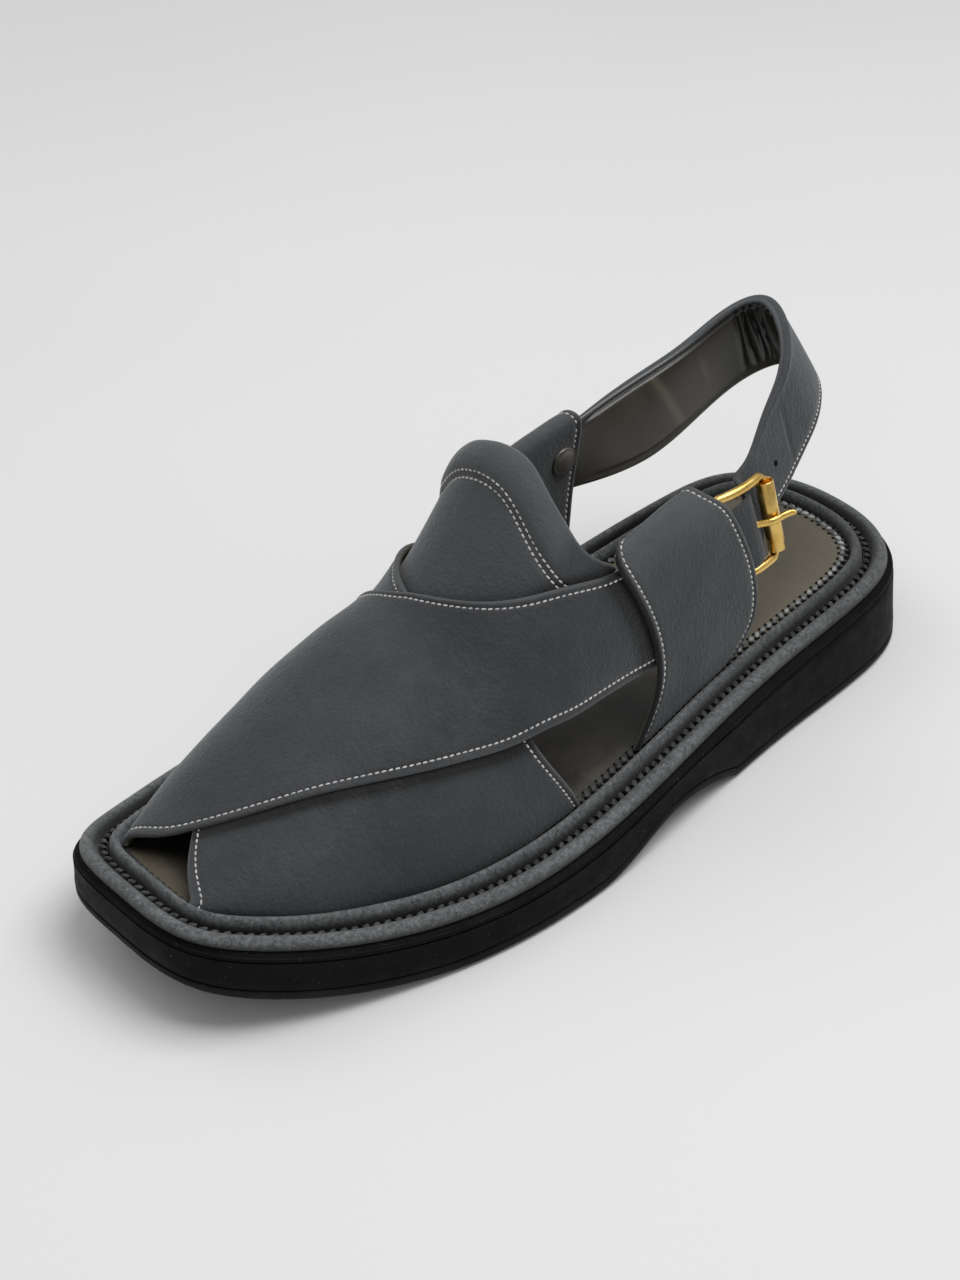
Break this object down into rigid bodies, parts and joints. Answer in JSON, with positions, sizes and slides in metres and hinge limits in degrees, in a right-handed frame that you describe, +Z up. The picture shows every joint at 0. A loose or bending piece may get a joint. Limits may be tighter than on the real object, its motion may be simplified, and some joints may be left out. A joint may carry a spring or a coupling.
{
  "type": "peshawari chappal",
  "caption": "Open leather sandal, left foot: two crossed vamp bands, padded tongue, folded side bands, heel strap with roller buckle, thick sole block with toe spring and heel.",
  "frame": {"origin": "on the floor under the middle of the shoe's box", "axes": "+Z up, -Y towards the toe, +Y towards the heel, +X towards the outer (lateral) side"},
  "size_m": [0.1274, 0.3058, 0.1154],
  "materials": {
    "leather_slate": "matt pebbled slate grey leather",
    "lining_taupe": "smooth semi-gloss taupe lining leather, padded",
    "sole_black": "matt black rubber",
    "rolled_leather": "mottled grey rolled leather",
    "brass": "polished brass",
    "gunmetal": "dark satin cap"
  },
  "bodies": {
    "root": {"outsole": "sole_black", "midsole": "sole_black", "welt": "rolled_leather", "rand": "rolled_leather", "insole": "lining_taupe", "vamp": "leather_slate", "tongue": "leather_slate", "side_band_lateral": "leather_slate", "side_band_medial": "leather_slate", "heel_strap": "leather_slate", "buckle_frame": "brass", "buckle_roller": "brass", "buckle_prong": "brass", "rivet": "gunmetal"}
  },
  "joints": []
}
